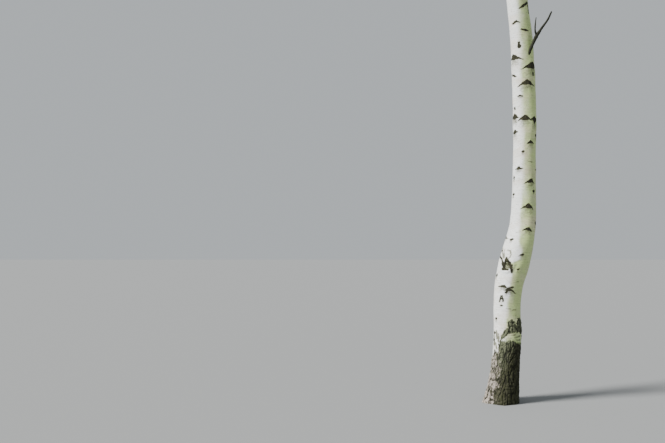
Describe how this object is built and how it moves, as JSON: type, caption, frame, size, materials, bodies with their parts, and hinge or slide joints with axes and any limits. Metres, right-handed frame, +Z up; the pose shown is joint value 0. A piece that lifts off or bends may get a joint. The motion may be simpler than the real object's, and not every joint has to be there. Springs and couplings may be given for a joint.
{
  "type": "young silver birch",
  "caption": "Slender white-barked young birch with a swept foot, a rough dark base, a dead lower limb and an airy, narrow crown of small yellow-green leaves.",
  "frame": {"origin": "middle of the flat cut at ground level under the trunk", "axes": "+Z up, -Y towards the viewer of the picture, +X to their right"},
  "size_m": [3.4079, 3.4262, 11.986],
  "materials": {
    "trunk_bark": "papery white bark with dark scars, rough and furrowed at the foot",
    "limb_bark": "smooth brown to grey young bark",
    "dead_wood": "dry, dark and rough",
    "foliage": "thin yellow-green leaves on fine dark twigs"
  },
  "bodies": {
    "root": {"trunk": "trunk_bark", "bough_01": "limb_bark", "bough_02": "limb_bark", "bough_03": "limb_bark", "bough_04": "limb_bark", "bough_05": "limb_bark", "bough_06": "limb_bark", "bough_07": "limb_bark", "bough_08": "limb_bark", "bough_09": "limb_bark", "bough_10": "limb_bark", "bough_11": "limb_bark", "bough_12": "limb_bark", "bough_13": "limb_bark", "bough_14": "limb_bark", "bough_15": "limb_bark", "bough_16": "limb_bark", "bough_17": "limb_bark", "bough_18": "limb_bark", "bough_19": "limb_bark", "bough_20": "limb_bark", "bough_21": "limb_bark", "bough_22": "limb_bark", "bough_23": "limb_bark", "bough_24": "limb_bark", "dead_limb": "dead_wood", "foliage_01": "foliage", "foliage_02": "foliage", "foliage_03": "foliage", "foliage_04": "foliage", "foliage_05": "foliage", "foliage_06": "foliage", "foliage_07": "foliage", "foliage_08": "foliage", "foliage_09": "foliage", "foliage_10": "foliage", "foliage_11": "foliage", "foliage_12": "foliage", "foliage_13": "foliage", "foliage_14": "foliage", "foliage_15": "foliage", "foliage_16": "foliage", "foliage_17": "foliage", "foliage_18": "foliage", "foliage_19": "foliage", "foliage_20": "foliage", "foliage_21": "foliage", "foliage_22": "foliage", "foliage_23": "foliage", "foliage_24": "foliage", "foliage_top": "foliage"}
  },
  "joints": []
}
